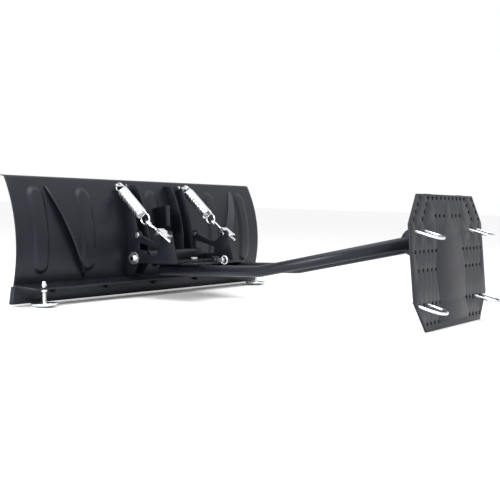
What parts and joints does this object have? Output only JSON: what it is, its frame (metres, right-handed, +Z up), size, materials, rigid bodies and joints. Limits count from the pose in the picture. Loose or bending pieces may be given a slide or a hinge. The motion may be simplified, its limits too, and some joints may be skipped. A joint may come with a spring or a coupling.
{
  "type": "atv plow blade",
  "caption": "Curved snow plow blade on a spring-tripping, swivelling head with bent push arms and an octagonal plate that U-bolts under a small vehicle.",
  "frame": {"origin": "on the floor under the middle of the whole; the skid shoes and the mount plate's lower edge stand on z = 0", "axes": "+Z up, the blade faces -Y, the push arms run to +Y, +X is the driver's left"},
  "size_m": [1.27, 1.2788, 0.402],
  "materials": {
    "black_paint": "satin powder coat",
    "zinc": "bright zinc plate",
    "spring_steel": "bright zinc plate on wound wire"
  },
  "bodies": {
    "push_frame": {"push_arm_left": "black_paint", "push_arm_right": "black_paint", "sector_plate": "black_paint", "kingpin": "zinc", "pin_guide": "black_paint", "arm_bolt_front_left": "zinc", "arm_bolt_front_right": "zinc", "arm_bolt_rear_left": "zinc", "arm_bolt_rear_right": "zinc", "pivot_pin_left": "zinc", "pivot_pin_right": "zinc"},
    "swivel_head": {"head_side_left": "black_paint", "head_side_right": "black_paint", "swivel_base": "black_paint", "cross_channel": "black_paint", "trip_bolt_left": "zinc", "trip_bolt_right": "zinc", "trip_washer_left": "zinc", "trip_washer_right": "zinc", "stop_bolt_left": "zinc", "stop_bolt_right": "zinc", "trip_spring_left": "spring_steel", "trip_spring_right": "spring_steel", "spring_rod_left": "zinc", "spring_rod_right": "zinc", "spring_bracket_left": "zinc", "spring_bracket_right": "zinc", "bracket_bolt_left": "zinc", "bracket_bolt_right": "zinc"},
    "blade": {"moldboard": "black_paint", "cutting_edge": "black_paint", "bottom_angle": "black_paint", "diagonal_rib_left": "black_paint", "diagonal_rib_right": "black_paint", "blade_post_left": "black_paint", "blade_post_right": "black_paint", "spring_pin_left": "zinc", "spring_pin_right": "zinc", "lift_bracket": "black_paint", "edge_bolt_1": "black_paint", "edge_bolt_2": "black_paint", "edge_bolt_3": "black_paint", "edge_bolt_4": "black_paint", "edge_bolt_5": "black_paint", "skid_spacer_left": "zinc", "skid_spacer_right": "zinc", "skid_nut_left": "zinc", "skid_nut_right": "zinc"},
    "skid_left": {"skid_shoe_left": "zinc"},
    "skid_right": {"skid_shoe_right": "zinc"},
    "lock_pin": {"lock_pin": "zinc"},
    "pull_ring": {"pull_ring": "zinc"},
    "vehicle_plate": {"mount_plate": "black_paint", "pivot_bracket_left": "black_paint", "pivot_bracket_right": "black_paint", "ubolt_upper_left": "zinc", "ubolt_upper_right": "zinc", "ubolt_lower_left": "zinc", "ubolt_lower_right": "zinc"}
  },
  "joints": [
    {"name": "blade_angle", "type": "hinge", "parent": "push_frame", "child": "swivel_head", "pos_m": [0, -0.3874, 0.12472], "axis": [0, -0.0529, 0.9986], "range_deg": [-25, 25]},
    {"name": "blade_trip", "type": "hinge", "parent": "swivel_head", "child": "blade", "pos_m": [0, -0.52112, 0.13486], "axis": [1, 0, 0], "range_deg": [0, 22], "stiffness_Nm_per_rad": 163, "springref_deg": -16.04, "deforming": ["trip_spring_left", "trip_spring_right"]},
    {"name": "skid_height_left", "type": "slide", "parent": "blade", "child": "skid_left", "axis": [0, -0.0529, 0.9986], "range_m": [-0.01, 0.024]},
    {"name": "skid_height_right", "type": "slide", "parent": "blade", "child": "skid_right", "axis": [0, -0.0529, 0.9986], "range_m": [-0.01, 0.024]},
    {"name": "lock_pin_slide", "type": "slide", "parent": "push_frame", "child": "lock_pin", "axis": [0, 0.9986, 0.0529], "range_m": [-0.0095, 0]},
    {"name": "ring_swing", "type": "hinge", "parent": "lock_pin", "child": "pull_ring", "pos_m": [0, -0.26712, 0.1378], "axis": [0, -0.0529, 0.9986], "range_deg": [-60, 60]},
    {"name": "plate_tilt", "type": "hinge", "parent": "push_frame", "child": "vehicle_plate", "pos_m": [0, 0.48389, 0.2368], "axis": [1, 0, 0], "range_deg": [-20, 75]}
  ]
}
